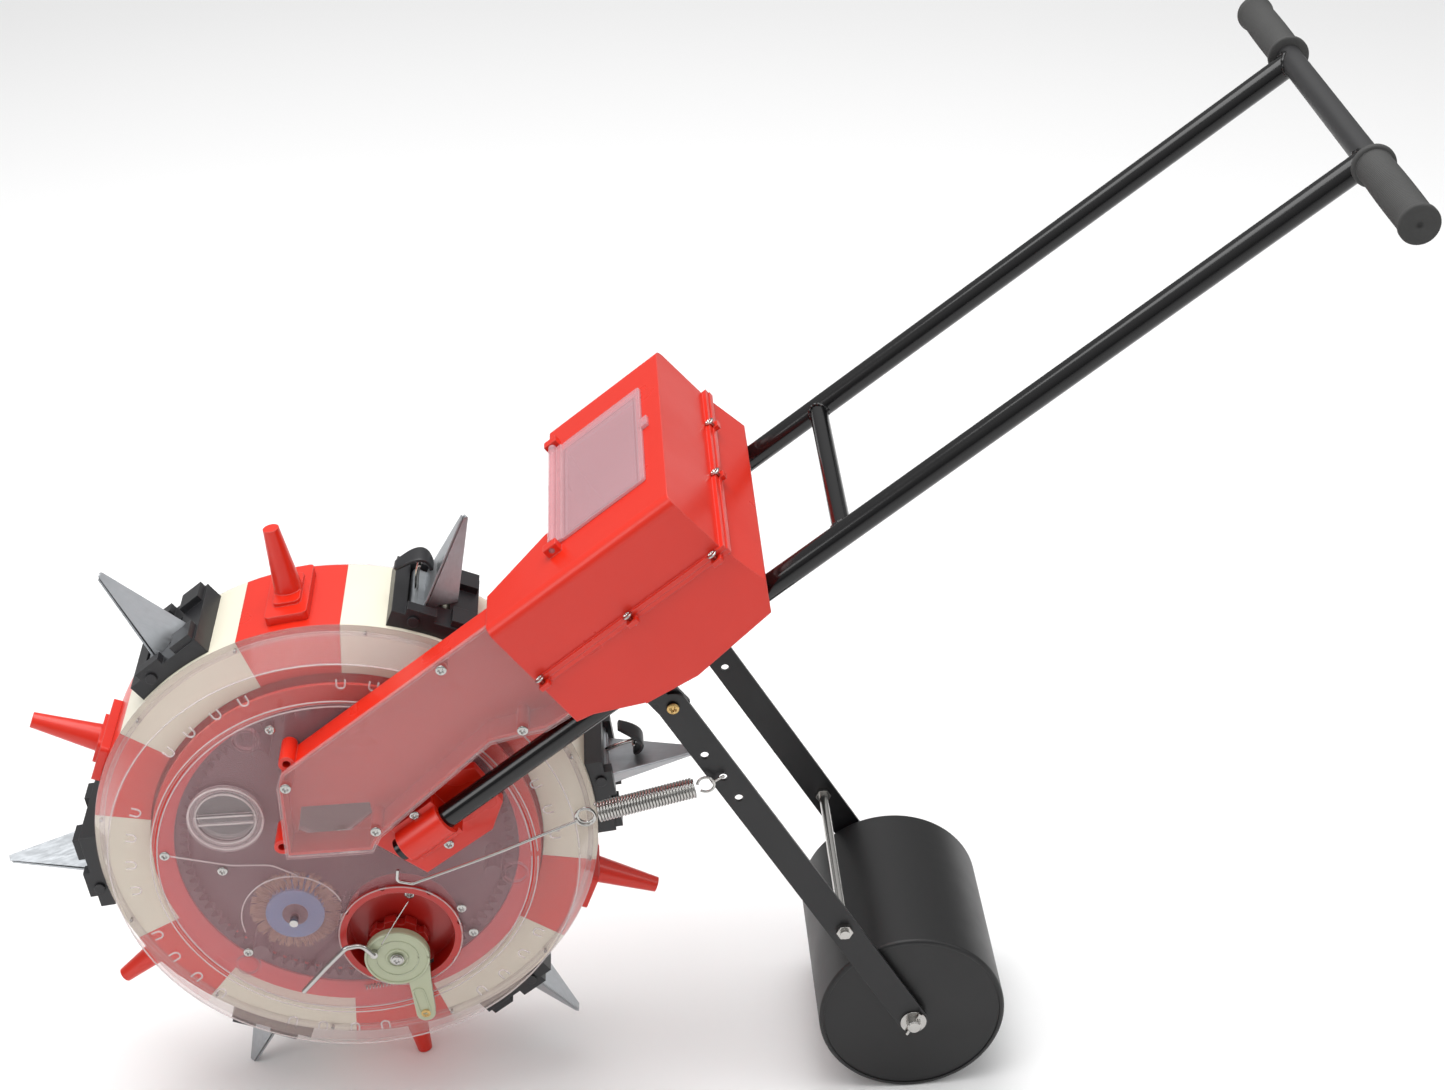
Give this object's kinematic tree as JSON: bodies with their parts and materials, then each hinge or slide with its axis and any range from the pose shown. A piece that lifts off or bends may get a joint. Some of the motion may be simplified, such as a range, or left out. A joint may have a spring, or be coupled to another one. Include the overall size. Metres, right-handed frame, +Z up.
{
  "type": "garden rotary seed planter",
  "caption": "Hand-pushed rotary seed planter: drum of soil pegs and opening duckbills, lidded hopper, metering wheel, T handle and a sprung press roller.",
  "frame": {"origin": "on the ground, midway between the foremost beak tip and the handle grips, on the machine's centre plane", "axes": "+Z up, +X rearwards from the drum to the handle grips, Y along the axles with the open gear side at -Y"},
  "size_m": [1.0892, 0.452, 0.8568],
  "materials": {
    "black_paint": "gloss",
    "grip_rubber": "matt",
    "red_plastic": "gloss",
    "cream_plastic": "gloss",
    "clear_plastic": "gloss, clear",
    "black_plastic": "satin",
    "white_plastic": "gloss",
    "blue_plastic": "satin",
    "bristle": "fibrous",
    "olive_plastic": "gloss, translucent",
    "steel": "zinc plated",
    "brass": "plated"
  },
  "bodies": {
    "frame": {"handle_tube_near": "black_paint", "handle_tube_far": "black_paint", "crossbar": "black_paint", "cross_brace": "black_paint", "grip_near": "grip_rubber", "grip_far": "grip_rubber", "hopper_lower": "red_plastic", "hopper_upper": "red_plastic", "hopper_screws": "steel", "seed_chute": "red_plastic", "chute_cover": "clear_plastic", "chute_screws": "steel", "tube_clamps": "red_plastic", "clamp_screws": "steel", "main_axle": "steel", "axle_nuts": "steel", "back_plate": "black_plastic", "disc_spacers": "black_plastic", "gear_studs": "steel", "fixed_disc_near": "clear_plastic", "fixed_disc_far": "clear_plastic", "metering_cup": "red_plastic", "disc_screws": "steel", "arm_brackets": "black_plastic", "arm_screws": "brass", "tension_spring": "steel", "hook_rod": "steel"},
    "drum": {"red_segments": "red_plastic", "cream_segments": "cream_plastic", "clear_ring_near": "clear_plastic", "clear_ring_far": "clear_plastic", "ring_screws": "steel", "divider_wheel": "red_plastic", "far_web": "red_plastic", "ring_gear": "black_plastic", "planting_pegs": "red_plastic", "beak_bases": "black_plastic", "fixed_beaks": "steel", "beak_pins": "steel"},
    "flap_1": {"beak_flap_1": "steel"},
    "flap_2": {"beak_flap_2": "steel"},
    "flap_3": {"beak_flap_3": "steel"},
    "flap_4": {"beak_flap_4": "steel"},
    "flap_5": {"beak_flap_5": "steel"},
    "flap_6": {"beak_flap_6": "steel"},
    "lid": {"hopper_lid": "clear_plastic"},
    "clean_out_cap": {"clean_out_cap": "clear_plastic"},
    "gate": {"seed_gate": "olive_plastic", "gate_lever": "steel"},
    "metering": {"metering_wheel": "white_plastic"},
    "idler": {"idler_gear": "black_plastic"},
    "brush": {"brush_hub": "blue_plastic", "brush_bristles": "bristle"},
    "press_arms": {"press_arm_near": "black_paint", "press_arm_far": "black_paint", "strut_rod": "steel", "roller_axle": "steel", "axle_washers_and_pins": "steel"},
    "roller": {"roller_shell": "black_plastic", "roller_ends": "black_plastic"}
  },
  "joints": [
    {"name": "drum_spin", "type": "hinge", "parent": "frame", "child": "drum", "pos_m": [-0.2531, 0, 0.26893], "axis": [0, 1, 0], "continuous": true},
    {"name": "flap_1_hinge", "type": "hinge", "parent": "drum", "child": "flap_1", "pos_m": [-0.04305, 0, 0.30696], "axis": [0, -1, 0], "range_deg": [0, 25], "stiffness_Nm_per_rad": 0.5, "springref_deg": -17.19},
    {"name": "flap_2_hinge", "type": "hinge", "parent": "drum", "child": "flap_2", "pos_m": [-0.181, 0, 0.46985], "axis": [0, -1, 0], "range_deg": [0, 25], "stiffness_Nm_per_rad": 0.5, "springref_deg": -17.19},
    {"name": "flap_3_hinge", "type": "hinge", "parent": "drum", "child": "flap_3", "pos_m": [-0.39105, 0, 0.43183], "axis": [0, -1, 0], "range_deg": [0, 25], "stiffness_Nm_per_rad": 0.5, "springref_deg": -17.19},
    {"name": "flap_4_hinge", "type": "hinge", "parent": "drum", "child": "flap_4", "pos_m": [-0.46314, 0, 0.23091], "axis": [0, -1, 0], "range_deg": [0, 25], "stiffness_Nm_per_rad": 0.5, "springref_deg": -17.19},
    {"name": "flap_5_hinge", "type": "hinge", "parent": "drum", "child": "flap_5", "pos_m": [-0.32519, 0, 0.06802], "axis": [0, -1, 0], "range_deg": [0, 25], "stiffness_Nm_per_rad": 0.5, "springref_deg": -17.19},
    {"name": "flap_6_hinge", "type": "hinge", "parent": "drum", "child": "flap_6", "pos_m": [-0.11515, 0, 0.10604], "axis": [0, -1, 0], "range_deg": [0, 25], "stiffness_Nm_per_rad": 0.5, "springref_deg": -17.19},
    {"name": "lid_hinge", "type": "hinge", "parent": "frame", "child": "lid", "pos_m": [-0.06626, 0, 0.55253], "axis": [0, -1, 0], "range_deg": [0, 110]},
    {"name": "cap_twist", "type": "hinge", "parent": "frame", "child": "clean_out_cap", "pos_m": [-0.3428, -0.086, 0.32144], "axis": [0, 1, 0], "range_deg": [0, 90]},
    {"name": "gate_turn", "type": "hinge", "parent": "frame", "child": "gate", "pos_m": [-0.22005, -0.088, 0.17561], "axis": [0, 1, 0], "range_deg": [-12, 12]},
    {"name": "metering_spin", "type": "hinge", "parent": "frame", "child": "metering", "pos_m": [-0.22005, -0.062, 0.17561], "axis": [0, 1, 0], "continuous": true},
    {"name": "idler_spin", "type": "hinge", "parent": "frame", "child": "idler", "pos_m": [-0.26581, -0.054, 0.19813], "axis": [0, 1, 0], "continuous": true},
    {"name": "brush_spin", "type": "hinge", "parent": "frame", "child": "brush", "pos_m": [-0.3008, -0.065, 0.21535], "axis": [0, 1, 0], "continuous": true},
    {"name": "press_arm_hinge", "type": "hinge", "parent": "frame", "child": "press_arms", "pos_m": [0.0184, 0, 0.41103], "axis": [0, 1, 0], "range_deg": [-20, 0], "stiffness_Nm_per_rad": 20, "springref_deg": 34.38, "deforming": ["tension_spring"]},
    {"name": "roller_spin", "type": "hinge", "parent": "press_arms", "child": "roller", "pos_m": [0.2074, 0, 0.0792], "axis": [0, 1, 0], "continuous": true}
  ],
  "couplings": [
    {"joint": "metering_spin", "follows": "drum_spin", "ratio": 4},
    {"joint": "idler_spin", "follows": "drum_spin", "ratio": -7.3333},
    {"joint": "brush_spin", "follows": "drum_spin", "ratio": 6.2857}
  ]
}
